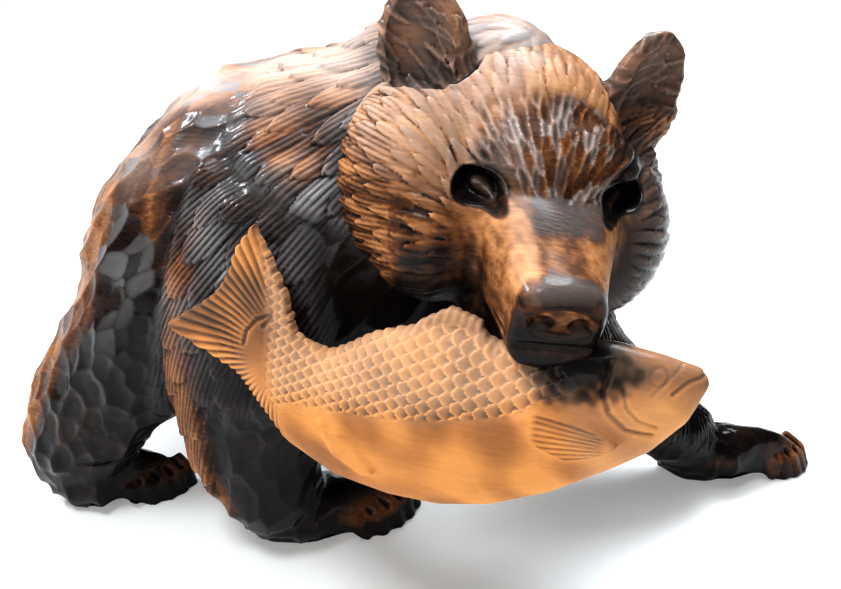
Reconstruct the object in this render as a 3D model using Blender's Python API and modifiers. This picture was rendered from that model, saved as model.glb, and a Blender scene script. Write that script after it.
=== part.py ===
"""A walking bear with a salmon in its jaws, carved from one block of wood.

The bear walks towards +X, its left side is +Y, and it turns its head to its right. All places are
drawn in millimetres on a bear DRAWN_LENGTH long, counted from the heel of its right forefoot, and
are scaled to BEAR_LENGTH. The origin is on the ground under the middle of the carving.
"""

import math
import random

import bmesh
import bpy
import numpy as np
from mathutils import Matrix, Vector, kdtree

# Driving dimensions, in metres.
BEAR_LENGTH = 0.378
DRAWN_LENGTH = 378.0
LOCK_LENGTH = 0.020
LOCK_WIDTH = 0.012
LOCK_DEPTH = 0.0026

MM = BEAR_LENGTH / DRAWN_LENGTH
BODY_VOXEL = 3.0 * MM
HEAD_VOXEL = 2.0 * MM
TRIANGLES = 9300
SEED = 7

# The middle of the carving on the ground, in drawn millimetres.
MIDDLE = Vector((56.4, 54.7, 0.0))


def spot(x, y, z):
    """A drawn place in metres from the origin."""
    return (Vector((x, y, z)) - MIDDLE) * MM


def turned(yaw, pitch=0.0, roll=0.0):
    """A rotation: yaw to the left, pitch down and roll, in degrees."""
    return (
        Matrix.Rotation(math.radians(yaw), 4, "Z")
        @ Matrix.Rotation(math.radians(pitch), 4, "Y")
        @ Matrix.Rotation(math.radians(roll), 4, "X")
    )


HEAD = Matrix.Translation(spot(104, 50, 190)) @ turned(-70, 8, -8) @ Matrix.Scale(MM, 4)
FISH = Matrix.Translation(spot(80, -19, 140)) @ turned(-2, 0, -10) @ Matrix.Scale(MM, 4)
BODY = Matrix.Translation(spot(0, 0, 0)) @ Matrix.Scale(MM, 4)

# Centre, radii and turn of the left and the right ear, on the head.
EARS = [((-9, 38, 26), (9, 18, 27), (22, -14, -24)), ((-8, -45, 34), (9, 19, 26), (-24, -14, 20))]

# Heel, first and last claw tip, width and claw slope of each foot:
# right fore, right hind, left fore, left hind.
FEET = [
    ((-3, 13), (44, 21), (60, 49), 36, 1.0),
    ((-108, 3), (-74, 6), (-56, 28), 32, 1.0),
    ((184, 118), (231, 125), (248, 142), 30, 1.4),
    ((-96, 117), (-52, 122), (-36, 145), 32, 1.0),
]


def ellipsoid(work, frame, centre, radii, turn=(0, 0, 0)):
    """Adds a closed ellipsoid to the working mesh."""
    place = frame @ Matrix.Translation(centre) @ turned(*turn) @ Matrix.Diagonal((*radii, 1))
    bmesh.ops.create_uvsphere(work, u_segments=28, v_segments=18, radius=1, matrix=place)


def loft(work, rings):
    """Skins a row of rings of as many points each, and closes both ends."""
    rows = [[work.verts.new(point) for point in ring] for ring in rings]
    for low, high in zip(rows, rows[1:]):
        for i, corner in enumerate(low):
            work.faces.new((corner, low[i - 1], high[i - 1], high[i]))
    work.faces.new(rows[0])
    work.faces.new(reversed(rows[-1]))


def oval(frame, centre, across, up, power=1.0, sides=24):
    """A ring about centre with the half axes across and up; a power under 1 squares it."""
    centre, across, up = Vector(centre), Vector(across), Vector(up)
    ring = []
    for i in range(sides):
        c, s = math.cos(math.tau * i / sides), math.sin(math.tau * i / sides)
        wide = math.copysign(abs(c) ** power, c)
        high = math.copysign(abs(s) ** power, s)
        ring.append(frame @ (centre + across * wide + up * high))
    return ring


def limb(work, frame, sections, up=(0, 0, 1), power=1.0):
    """A loft of ovals square to their own path; a section is place, half width, half height."""
    places = [Vector(place) for place, _, _ in sections]
    rings = []
    for i, (_, width, height) in enumerate(sections):
        along = (places[min(i + 1, len(places) - 1)] - places[max(i - 1, 0)]).normalized()
        across = along.cross(Vector(up)).normalized()
        rise = across.cross(along)
        rings.append(oval(frame, places[i], across * width, rise * height, power))
    loft(work, rings)


def plate(work, frame, outline, near, far):
    """A fin: an outline in the frame's XZ plane between the two depths along its Y."""
    loft(work, [[frame @ Vector((x, y, z)) for x, z in outline] for y in (near, far)])


def new_object(name, work):
    """A mesh object from the working mesh, with its faces pointing out."""
    bmesh.ops.recalc_face_normals(work, faces=work.faces)
    mesh = bpy.data.meshes.new(name)
    work.to_mesh(mesh)
    work.free()
    obj = bpy.data.objects.new(name, mesh)
    bpy.context.scene.collection.objects.link(obj)
    return obj


def settled(obj):
    """The object with its modifiers made part of its mesh."""
    bpy.context.view_layer.update()
    graph = bpy.context.evaluated_depsgraph_get()
    mesh = bpy.data.meshes.new_from_object(obj.evaluated_get(graph))
    obj.modifiers.clear()
    obj.data = mesh
    return obj


def fused(obj, voxel, smoothing):
    """Makes overlapping closed pieces one skin, and softens the seams between them."""
    remesh = obj.modifiers.new("One skin", "REMESH")
    remesh.mode = "VOXEL"
    remesh.voxel_size = voxel
    smooth = obj.modifiers.new("Soften", "SMOOTH")
    smooth.factor = 0.5
    smooth.iterations = smoothing
    return settled(obj)


def joined(name, objects):
    """All the pieces in one object."""
    work = bmesh.new()
    for obj in objects:
        work.from_mesh(obj.data)
        bpy.data.objects.remove(obj)
    return new_object(name, work)


def body_masses():
    """The trunk, hump, neck and the four legs down to the ankles."""
    work = bmesh.new()
    trunk = [
        ((-114, 72, 102), 18, 22),
        ((-106, 71, 106), 37, 36),
        ((-89, 69, 113), 55, 52),
        ((-64, 69, 122), 65, 68),
        ((-36, 69, 131), 69, 80),
        ((-8, 70, 135), 69, 80),
        ((20, 69, 141), 68, 79),
        ((48, 68, 147), 65, 78),
        ((72, 66, 148), 58, 70),
        ((92, 64, 142), 44, 54),
        ((104, 62, 138), 24, 32),
    ]
    loft(work, [oval(BODY, place, (0, width, 0), (0, 0, rise)) for place, width, rise in trunk])
    ellipsoid(work, BODY, (56, 74, 194), (46, 38, 40))
    ellipsoid(work, BODY, (87, 61, 203), (31, 30, 37))
    limb(work, BODY, [((30, 70, 165), 50, 52), ((70, 62, 184), 45, 46), ((104, 50, 188), 36, 36)])
    right_fore = [
        ((36, 42, 182), 22, 20),
        ((25, 29, 170), 27, 34),
        ((15, 20, 154), 27, 43),
        ((4, 15, 132), 27, 45),
        ((-1, 13, 104), 27, 42),
        ((-5, 12, 76), 26, 36),
        ((-6, 12, 50), 25, 32),
        ((-1, 12, 28), 24, 27),
        ((6, 14, 14), 22, 22),
    ]
    left_fore = [
        ((80, 94, 160), 30, 34),
        ((88, 99, 130), 28, 36),
        ((101, 102, 98), 27, 32),
        ((124, 104, 66), 24, 27),
        ((154, 108, 42), 21, 23),
        ((176, 113, 27), 19, 20),
        ((192, 120, 18), 16, 16),
    ]
    right_hind = [
        ((-30, 34, 150), 26, 32),
        ((-44, 29, 126), 33, 36),
        ((-64, 24, 98), 33, 36),
        ((-84, 18, 70), 28, 35),
        ((-100, 11, 46), 24, 32),
        ((-108, 8, 28), 22, 30),
        ((-105, 8, 14), 20, 26),
    ]
    left_hind = [
        ((-50, 106, 150), 26, 34),
        ((-62, 112, 124), 32, 40),
        ((-76, 116, 96), 30, 38),
        ((-88, 118, 68), 25, 31),
        ((-96, 118, 44), 21, 26),
        ((-96, 118, 24), 19, 22),
        ((-92, 118, 14), 18, 18),
    ]
    ellipsoid(work, BODY, (-109, 73, 108), (11, 10, 16), turn=(0, -24, 0))
    for leg in (right_fore, left_fore, right_hind, left_hind):
        limb(work, BODY, leg, up=(1, 0, 0))
    return new_object("trunk", work)


def head_masses():
    """Skull, brow, cheeks, ruff, muzzle and jaw, about the middle of the skull."""
    work = bmesh.new()
    ellipsoid(work, HEAD, (-6, -6, 6), (42, 40, 35))
    ellipsoid(work, HEAD, (20, 0, 8), (24, 35, 22))
    muzzle = [
        ((12, 0, -6), 38, 28),
        ((32, 0, -8), 30, 22),
        ((50, 0, -10), 24, 20),
        ((66, 0, -12), 19, 18),
        ((78, 0, -13), 16, 17),
        ((87, 0, -13), 14.5, 16.5),
    ]
    limb(work, HEAD, muzzle, power=0.62)
    ellipsoid(work, HEAD, (16, 28, -18), (32, 25, 32))
    ellipsoid(work, HEAD, (18, -33, -16), (37, 28, 31))
    ellipsoid(work, HEAD, (-4, 32, -22), (28, 24, 38))
    ellipsoid(work, HEAD, (8, -43, -8), (34, 28, 38))
    jaw = [((10, 0, -30), 34, 20), ((34, 0, -32), 29, 17), ((54, 0, -34), 23, 14)]
    limb(work, HEAD, jaw + [((72, 0, -38), 15, 9)])
    return new_object("head", work)


def fine_masses():
    """Ears, nose, feet and claws."""
    work = bmesh.new()
    for centre, radii, turn in EARS:
        ellipsoid(work, HEAD, centre, radii, turn)
    ellipsoid(work, HEAD, (84, 0, -6), (7, 14.5, 9.5))
    for heel, first, last, width, slope in FEET:
        heel, first, last = Vector((*heel, 0)), Vector((*first, 0)), Vector((*last, 0))
        along = (first + last) / 2 - heel
        aside = Vector((-along.y, along.x, 0)).normalized()
        row = (last - first) / 2
        foot = [
            (heel - along * 0.25 + Vector((0, 0, 11)), aside * width * 0.30, 8),
            (heel + Vector((0, 0, 13)), aside * width * 0.5, 15),
            (heel + along * 0.4 + Vector((0, 0, 14)), aside * width * 0.58, 17),
            (heel + along * 0.75 + Vector((0, 0, 11)), aside * 3 + row * 1.12, 14),
            (heel + along * 0.9 + Vector((0, 0, 8)), row * 1.1, 9.5),
        ]
        loft(work, [oval(BODY, place, across, (0, 0, rise)) for place, across, rise in foot])
        ahead = Vector((row.y, -row.x, 0)).normalized() + along.normalized()
        for i in range(5):
            part = (i - 2) / 2
            tip = (first + last) / 2 + row * part + ahead * (2.5 - 2.5 * part * part)
            claw = [
                (tip - ahead * 7 * slope + Vector((0, 0, 13)), width * 0.15, 6),
                (tip - ahead * 3 * slope + Vector((0, 0, 9)), width * 0.145, 5.5),
                (tip - ahead * 1.5 + Vector((0, 0, -1)), width * 0.12, 4.5),
            ]
            limb(work, BODY, claw, up=ahead)
    return new_object("fine", work)


def fish_masses():
    """The salmon in its own plane, its head towards +X, with raised fins and gill cover."""
    work = bmesh.new()
    spine = [
        ((97, 0, 13), 2.5, 3),
        ((88, 0, 7), 8, 12),
        ((76, 0, 1), 11, 19.5),
        ((62, 0, -5), 13, 24),
        ((44, 0, -14), 14, 28),
        ((26, 0, -19), 15, 33),
        ((8, 0, -22), 15, 35),
        ((-10, 0, -26), 14, 32),
        ((-26, 0, -28), 12.5, 27),
        ((-40, 0, -25), 10.5, 22),
        ((-50, 0, -18), 8.5, 18),
        ((-60, 0, -10), 6, 16),
        ((-72, 0, 0), 3, 17),
    ]
    limb(work, FISH, spine)
    tail = [(-45, -4), (-49, 12), (-62, 39), (-70, 28), (-73, 18), (-79, 9), (-91, 0), (-102, -8)]
    plate(work, FISH, tail + [(-75, -19), (-62, -24)], -3, 3)
    block = [(-60, 6), (-64, 22), (-74, 10), (-88, -4), (-76, -14), (-62, -14)]
    plate(work, FISH, block, 0, 16)
    plate(work, FISH, [(-4, 0), (2, 14), (13, 21), (24, 18), (30, 4)], -2.5, 2.5)
    breast_fin = [(40, -8), (47, -5), (59, -5), (70, -8), (75, -11), (69, -16), (59, -20), (50, -17)]
    plate(work, FISH, breast_fin, -15.5, 0)
    plate(work, FISH, [(-30, -27), (-18, -31), (-7, -43), (-12, -45), (-24, -39)], -14.5, 0)
    return new_object("fish", work)


def hollows():
    """What is cut away: eye sockets, ears, nostrils and the arches of the soles."""
    work = bmesh.new()
    for side in (-1, 1):
        ellipsoid(work, HEAD, (44, side * 26, 9), (9, 9.5, 5.5), turn=(side * 20, 10, side * 8))
        ellipsoid(work, HEAD, (93, side * 8, -9), (6, 3.6, 3), turn=(side * 24, 0, 0))
    for centre, radii, turn in EARS:
        front = Vector(centre) + turned(*turn) @ Vector((11, 0, 2))
        ellipsoid(work, HEAD, front, (9.5, radii[1] - 4.5, radii[2] - 4), turn)
    for heel, first, last, width, _ in FEET:
        toes = (Vector(first) + Vector(last)) / 2
        middle = Vector(heel) * 0.52 + toes * 0.48
        yaw = math.degrees(math.atan2(toes.y - heel[1], toes.x - heel[0]))
        reach = (toes - Vector(heel)).length * 0.36
        ellipsoid(work, BODY, (*middle, -4), (reach, width * 1.2, 10.5), turn=(yaw, 0, 0))
    return new_object("hollows", work)


def eyes():
    """The eyeballs inside their sockets."""
    work = bmesh.new()
    for side in (-1, 1):
        ellipsoid(work, HEAD, (35, side * 24, 8.4), (5.5, 5, 3.4))
    return new_object("eyes", work)


def cut(obj, cutter):
    """Takes the cutter's volume out of the object."""
    boolean = obj.modifiers.new("Cut", "BOOLEAN")
    boolean.operation = "DIFFERENCE"
    boolean.solver = "EXACT"
    boolean.object = cutter
    settled(obj)
    bpy.data.objects.remove(cutter)
    return obj


def smoothstep(low, high, value):
    """0 under low, 1 over high and an even rise between."""
    part = np.clip((value - low) / (high - low), 0.0, 1.0)
    return part * part * (3.0 - 2.0 * part)


def places_and_normals(mesh):
    """The mesh's vertices and their normals as arrays."""
    places = np.empty(len(mesh.vertices) * 3)
    normals = np.empty(len(mesh.vertices) * 3)
    mesh.vertices.foreach_get("co", places)
    mesh.vertex_normals.foreach_get("vector", normals)
    return places.reshape(-1, 3), normals.reshape(-1, 3)


def local(places, frame):
    """The places in a frame's own millimetres."""
    back = np.array(frame.inverted())
    return places @ back[:3, :3].T + back[:3, 3]


def flow_of_hair(places, normals):
    """Which way the hair lies: back from the nose on the head, back and down on the body."""
    head = local(places, HEAD)
    nose = np.array(HEAD @ Vector((80, 0, -8)))
    radial = places - nose
    radial /= np.linalg.norm(radial, axis=1)[:, None]
    body = np.array((-0.62, 0.0, -0.78))
    on_head = smoothstep(-45, -15, head[:, 0]) * (head[:, 2] > -45)
    flow = radial * on_head[:, None] + body * (1 - on_head[:, None])
    flow -= normals * (flow * normals).sum(1)[:, None]
    return flow / np.maximum(np.linalg.norm(flow, axis=1), 1e-9)[:, None]


def locks(places, normals, length, width):
    """Cells of hair: how near each place is to its cell's rim (0 to 1) and along it (-1 to 1)."""
    chance = random.Random(SEED)
    order = list(range(len(places)))
    chance.shuffle(order)
    tree = kdtree.KDTree(len(places))
    for i, place in enumerate(places):
        tree.insert(place, i)
    tree.balance()
    free = np.ones(len(places), bool)
    seeds = []
    for i in order:
        if free[i]:
            seeds.append(i)
            for _, near, _ in tree.find_range(places[i], 0.72 * math.sqrt(length * width)):
                free[near] = False
    flow = flow_of_hair(places, normals)
    aside = np.cross(normals, flow)
    heart = kdtree.KDTree(len(seeds))
    for k, i in enumerate(seeds):
        heart.insert(places[i], k)
    heart.balance()
    seeds = np.array(seeds)
    near = np.array([[k for _, k, _ in heart.find_n(place, 7)] for place in places])
    gap = places[:, None] - places[seeds][near]
    along = (gap * flow[seeds][near]).sum(2) / length
    across = (gap * aside[seeds][near]).sum(2) / width
    deep = (gap * normals[seeds][near]).sum(2) / width
    far = np.sqrt(along**2 + across**2 + deep**2)
    rank = np.argsort(far, axis=1)
    row = np.arange(len(places))
    rim = far[row, rank[:, 1]] - far[row, rank[:, 0]]
    return np.clip(rim / 0.5, 0, 1), np.clip(along[row, rank[:, 0]] * 2, -1, 1)


def carve(obj):
    """Gouges the coat into overlapping locks, leaving the face and the soles smooth."""
    mesh = obj.data
    places, normals = places_and_normals(mesh)
    rim, along = locks(places, normals, LOCK_LENGTH, LOCK_WIDTH)
    head, body = local(places, HEAD), local(places, BODY)
    beside = np.abs(head[:, 1])
    face = smoothstep(8, 30, head[:, 0]) * (1 - smoothstep(34, 52, beside))
    ear = (head[:, 2] > 36) & (beside > 20) & (head[:, 0] > -30)
    coat = smoothstep(2, 16, body[:, 2]) * (1 - face) * (1 - 0.8 * ear)
    height = LOCK_DEPTH * (0.35 * along - (1 - (1 - rim) ** 2))
    places = places + normals * (height * coat)[:, None]
    mesh.vertices.foreach_set("co", places.ravel())
    mesh.update()
    return obj


def trimmed(obj):
    """Keeps the carving under its number of triangles and cuts its soles flat on the ground."""
    thin = obj.modifiers.new("Facets", "DECIMATE")
    thin.ratio = TRIANGLES / (2 * len(obj.data.polygons))
    settled(obj)
    work = bmesh.new()
    work.from_mesh(obj.data)
    everything = work.verts[:] + work.edges[:] + work.faces[:]
    bmesh.ops.bisect_plane(
        work, geom=everything, dist=1e-6, plane_no=(0, 0, 1), clear_inner=True
    )
    rims = [edge for edge in work.edges if edge.is_boundary]
    bmesh.ops.holes_fill(work, edges=rims, sides=0)
    bmesh.ops.triangulate(work, faces=work.faces)
    bmesh.ops.recalc_face_normals(work, faces=work.faces)
    work.to_mesh(obj.data)
    work.free()
    return obj


def wood():
    """Plain dark wood."""
    material = bpy.data.materials.new("dark_wood")
    material.use_nodes = True
    shader = material.node_tree.nodes["Principled BSDF"]
    shader.inputs["Base Color"].default_value = (0.16, 0.07, 0.03, 1)
    shader.inputs["Roughness"].default_value = 0.42
    return material


def main():
    """Builds the bear in a collection of its own."""
    for obj in list(bpy.data.objects):
        bpy.data.objects.remove(obj)
    body = fused(body_masses(), BODY_VOXEL, 14)
    head = fused(head_masses(), HEAD_VOXEL, 5)
    whole = fused(joined("bear", [body, head, fine_masses()]), HEAD_VOXEL, 2)
    cut(carve(whole), hollows())
    whole = fused(joined("carved_bear", [whole, eyes(), fish_masses()]), HEAD_VOXEL, 0)
    trimmed(whole)
    whole.data.materials.clear()
    whole.data.materials.append(wood())
    holder = bpy.data.collections.new("carved_wooden_bear")
    bpy.context.scene.collection.children.link(holder)
    bpy.context.scene.collection.objects.unlink(whole)
    holder.objects.link(whole)


main()
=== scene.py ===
"""Looks of the carved wooden bear: carving, staining, wear, painted shade and light, a plain studio.

The bear is drawn in millimetres from the heel of its right forefoot, walking towards +X with its
left side at +Y, and its head is turned to its right. Five closed carvings stand for the one solid:
the hindquarters, the two forequarters, the head and the salmon.
"""

from __future__ import annotations

import logging
import math
import random
from dataclasses import dataclass, field
from enum import Enum
from typing import Sequence

import bmesh
import bpy
import numpy as np
from mathutils import Matrix, Vector, kdtree

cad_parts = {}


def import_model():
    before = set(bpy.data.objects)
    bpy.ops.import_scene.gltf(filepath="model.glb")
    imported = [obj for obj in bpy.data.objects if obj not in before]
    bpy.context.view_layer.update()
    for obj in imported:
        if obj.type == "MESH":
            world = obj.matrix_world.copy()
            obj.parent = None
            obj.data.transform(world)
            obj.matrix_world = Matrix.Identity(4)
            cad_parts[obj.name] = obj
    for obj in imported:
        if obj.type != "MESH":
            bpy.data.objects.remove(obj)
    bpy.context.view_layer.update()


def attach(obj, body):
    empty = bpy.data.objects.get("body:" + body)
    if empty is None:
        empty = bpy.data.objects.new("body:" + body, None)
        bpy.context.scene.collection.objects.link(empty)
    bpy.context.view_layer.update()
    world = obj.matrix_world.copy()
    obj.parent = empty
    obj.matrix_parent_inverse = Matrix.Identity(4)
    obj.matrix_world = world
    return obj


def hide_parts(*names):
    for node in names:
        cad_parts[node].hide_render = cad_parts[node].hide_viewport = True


LOG = logging.getLogger("carved_bear")

Array = np.ndarray
Place = tuple[float, float, float]
Section = tuple[Place, float, float]
Outline = tuple[tuple[float, float], ...]
Oval = tuple[tuple[float, float], tuple[float, float]]

MM = 0.001
# Where the model's origin lies in the drawing.
MIDDLE = Vector((56.4, 54.7, 0.0))


def spot(x: float, y: float, z: float) -> Vector:
    """A drawn place, in metres from the model's origin."""
    return (Vector((x, y, z)) - MIDDLE) * MM


def turned(yaw: float, pitch: float = 0.0, roll: float = 0.0) -> Matrix:
    """A rotation by yaw to the left, then pitch down, then roll, all in degrees."""
    return (
        Matrix.Rotation(math.radians(yaw), 4, "Z")
        @ Matrix.Rotation(math.radians(pitch), 4, "Y")
        @ Matrix.Rotation(math.radians(roll), 4, "X")
    )


def linked(obj: bpy.types.Object) -> bpy.types.Object:
    """The object, put into the scene."""
    bpy.context.scene.collection.objects.link(obj)
    return obj


BODY = Matrix.Translation(spot(0, 0, 0)) @ Matrix.Scale(MM, 4)
HEAD = Matrix.Translation(spot(104, 50, 190)) @ turned(-70, 8, -8) @ Matrix.Scale(MM, 4)
FISH = Matrix.Translation(spot(80, -19, 140)) @ turned(-2, 0, -10) @ Matrix.Scale(MM, 4)


def smoothstep(low: float, high: float, value: Array) -> Array:
    """0 under low, 1 over high and an even rise between, also for high under low."""
    part = np.clip((value - low) / (high - low), 0.0, 1.0)
    return part * part * (3.0 - 2.0 * part)


def waver(places: Array, size: float, seed: int) -> Array:
    """Smooth noise between -1 and 1 over places in millimetres, with blots about size across.

    Args:
        places: N places, in millimetres.
        size: the width of a blot.
        seed: which noise.

    Returns:
        One value for each place.
    """
    chance = np.random.default_rng(seed)
    total = np.zeros(len(places))
    for _ in range(9):
        way = chance.normal(size=3)
        way *= chance.uniform(0.7, 1.6) * math.pi / size / np.linalg.norm(way)
        total += np.sin(places @ way + chance.uniform(0, math.tau))
    return np.clip(total / 3.2, -1.0, 1.0)


class Mass:
    """Closed shapes gathered in one working mesh."""

    def __init__(self) -> None:
        """Starts with nothing."""
        self.work = bmesh.new()

    def ellipsoid(self, frame: Matrix, centre: Place, radii: Place, turn: Place = (0, 0, 0)) -> None:
        """Adds an ellipsoid about centre, turned in degrees."""
        place = frame @ Matrix.Translation(centre) @ turned(*turn) @ Matrix.Diagonal((*radii, 1))
        bmesh.ops.create_uvsphere(self.work, u_segments=40, v_segments=26, radius=1, matrix=place)

    def loft(self, rings: Sequence[Sequence[Vector]]) -> None:
        """Skins a row of rings of as many points each, and closes both ends."""
        rows = [[self.work.verts.new(point) for point in ring] for ring in rings]
        for low, high in zip(rows, rows[1:]):
            for i, corner in enumerate(low):
                self.work.faces.new((corner, low[i - 1], high[i - 1], high[i]))
        self.work.faces.new(rows[0])
        self.work.faces.new(reversed(rows[-1]))

    def limb(
        self,
        frame: Matrix,
        sections: Sequence[Section],
        up: Place | Vector = (0, 0, 1),
        power: float = 1.0,
    ) -> None:
        """Adds a loft of ovals square to their own path.

        Args:
            frame: what the places are drawn in.
            sections: place, half width and half height of each oval.
            up: which way an oval's height points.
            power: under 1 squares the ovals.
        """
        places = [Vector(place) for place, _, _ in sections]
        rings = []
        for i, (_, width, height) in enumerate(sections):
            along = (places[min(i + 1, len(places) - 1)] - places[max(i - 1, 0)]).normalized()
            across = along.cross(Vector(up)).normalized()
            rise = across.cross(along)
            rings.append(oval(frame, places[i], across * width, rise * height, power))
        self.loft(rings)

    def plate(
        self, frame: Matrix, outline: Sequence[tuple[float, float]], near: float, far: float
    ) -> None:
        """Adds a fin: an outline in the frame's XZ plane between two depths along its Y."""
        self.loft([[frame @ Vector((x, y, z)) for x, z in outline] for y in (near, far)])

    def made(self, name: str) -> bpy.types.Object:
        """The gathered shapes as an object whose faces point out."""
        bmesh.ops.recalc_face_normals(self.work, faces=self.work.faces)
        mesh = bpy.data.meshes.new(name)
        self.work.to_mesh(mesh)
        self.work.free()
        return linked(bpy.data.objects.new(name, mesh))


def oval(
    frame: Matrix,
    centre: Place | Vector,
    across: Place | Vector,
    up: Place | Vector,
    power: float = 1.0,
    sides: int = 32,
) -> list[Vector]:
    """A ring about centre with the half axes across and up.

    Args:
        frame: what the ring is drawn in.
        centre: its middle.
        across: its half axis to the side.
        up: its half axis upwards.
        power: under 1 squares it.
        sides: how many points it has.

    Returns:
        The points, in metres.
    """
    centre, across, up = Vector(centre), Vector(across), Vector(up)
    ring = []
    for i in range(sides):
        c, s = math.cos(math.tau * i / sides), math.sin(math.tau * i / sides)
        wide = math.copysign(abs(c) ** power, c)
        high = math.copysign(abs(s) ** power, s)
        ring.append(frame @ (centre + across * wide + up * high))
    return ring


def settled(obj: bpy.types.Object) -> bpy.types.Object:
    """The object with its modifiers made part of its mesh."""
    bpy.context.view_layer.update()
    graph = bpy.context.evaluated_depsgraph_get()
    mesh = bpy.data.meshes.new_from_object(obj.evaluated_get(graph))
    old = obj.data
    obj.modifiers.clear()
    obj.data = mesh
    bpy.data.meshes.remove(old)
    return obj


def fused(obj: bpy.types.Object, voxel: float, smoothing: int) -> bpy.types.Object:
    """Makes overlapping closed pieces one skin of even quads and softens their seams.

    Args:
        obj: the pieces, in one object.
        voxel: the quads' size, in millimetres.
        smoothing: how often the seams are softened.

    Returns:
        The same object.
    """
    remesh = obj.modifiers.new("One skin", "REMESH")
    remesh.mode = "VOXEL"
    remesh.voxel_size = voxel * MM
    if smoothing:
        smooth = obj.modifiers.new("Soften", "SMOOTH")
        smooth.factor = 0.5
        smooth.iterations = smoothing
    return settled(obj)


def joined(name: str, objects: Sequence[bpy.types.Object]) -> bpy.types.Object:
    """All the objects in one, in their place."""
    mass = Mass()
    for obj in objects:
        mass.work.from_mesh(obj.data)
        bpy.data.objects.remove(obj)
    return mass.made(name)


def cut(obj: bpy.types.Object, cutter: bpy.types.Object) -> bpy.types.Object:
    """Takes the cutter's volume out of the object."""
    boolean = obj.modifiers.new("Cut", "BOOLEAN")
    boolean.operation = "DIFFERENCE"
    boolean.solver = "EXACT"
    boolean.object = cutter
    settled(obj)
    bpy.data.objects.remove(cutter)
    return obj


def sliced(obj: bpy.types.Object, point: Vector, away: Place) -> bpy.types.Object:
    """Cuts off what lies beyond a plane and closes the cut flat.

    Args:
        obj: a closed object.
        point: a place on the plane, in metres.
        away: the plane's normal, towards what is cut off.

    Returns:
        The same object.
    """
    work = bmesh.new()
    work.from_mesh(obj.data)
    everything = work.verts[:] + work.edges[:] + work.faces[:]
    bmesh.ops.bisect_plane(
        work, geom=everything, dist=1e-6, plane_co=point, plane_no=away, clear_outer=True
    )
    rims = [edge for edge in work.edges if edge.is_boundary]
    filled = bmesh.ops.holes_fill(work, edges=rims, sides=0)
    bmesh.ops.triangulate(work, faces=filled["faces"])
    bmesh.ops.recalc_face_normals(work, faces=work.faces)
    work.to_mesh(obj.data)
    work.free()
    return obj


@dataclass
class Surface:
    """A mesh's places and normals, carved along the normals and painted with masks."""

    obj: bpy.types.Object
    places: Array = field(init=False)
    normals: Array = field(init=False)

    def __post_init__(self) -> None:
        """Reads the mesh."""
        self.refresh()

    def refresh(self) -> None:
        """Reads the places and normals again."""
        mesh = self.obj.data
        places = np.empty(len(mesh.vertices) * 3)
        normals = np.empty(len(mesh.vertices) * 3)
        mesh.vertices.foreach_get("co", places)
        mesh.vertex_normals.foreach_get("vector", normals)
        self.places = places.reshape(-1, 3)
        self.normals = normals.reshape(-1, 3)

    def local(self, frame: Matrix) -> Array:
        """The places in a frame's own millimetres."""
        back = np.array(frame.inverted())
        return self.places @ back[:3, :3].T + back[:3, 3]

    def turned_into(self, frame: Matrix) -> Array:
        """The normals as seen in a frame."""
        back = np.array(frame.inverted().to_3x3().normalized())
        return self.normals @ back.T

    def set_local(self, frame: Matrix, at: Array) -> None:
        """Puts the places where a frame's millimetres say."""
        ahead = np.array(frame)
        self.places = at @ ahead[:3, :3].T + ahead[:3, 3]
        self.write()

    def write(self) -> None:
        """Moves the mesh to the places and reads it again."""
        self.obj.data.vertices.foreach_set("co", self.places.ravel())
        self.obj.data.update()
        self.refresh()

    def press(self, height: Array) -> None:
        """Moves each place along its normal by a height in millimetres."""
        self.places = self.places + self.normals * (self.blurred(height, 1) * MM)[:, None]
        self.write()

    def blurred(self, values: Array, rounds: int) -> Array:
        """Values spread over the mesh: each round mixes every place with its neighbours."""
        mesh = self.obj.data
        ends = np.empty(len(mesh.edges) * 2, np.int32)
        mesh.edges.foreach_get("vertices", ends)
        a, b = ends.reshape(-1, 2).T
        count = np.bincount(a, minlength=len(values)) + np.bincount(b, minlength=len(values))
        count = np.maximum(count, 1)
        for _ in range(rounds):
            total = np.bincount(a, values[b], len(values)) + np.bincount(b, values[a], len(values))
            values = 0.5 * values + 0.5 * total / count
        return values

    def ridges(self, height: Array, reach: int, strength: float) -> Array:
        """0.5 on even ground, towards 1 on ridges and towards 0 in grooves of a carved height."""
        return 0.5 + strength * (height - self.blurred(height, reach))

    def ground(self, floor: float) -> None:
        """Lifts what lies under the floor, in metres, up to it."""
        self.places[:, 2] = np.maximum(self.places[:, 2], floor)
        self.write()

    def paint(self, **masks: Array) -> None:
        """Keeps one number of each mask for each place, which the finishes read by name."""
        for name, values in masks.items():
            layer = self.obj.data.attributes.new(name, "FLOAT", "POINT")
            layer.data.foreach_set("value", np.clip(values, 0.0, 1.0).astype(np.float32))


class Stroke(Enum):
    """What one cut of the gouge leaves."""

    SCOOP = "a hollow with a sharp ridge around it"
    TUFT = "a raised lock that lies over the next one"


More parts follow.
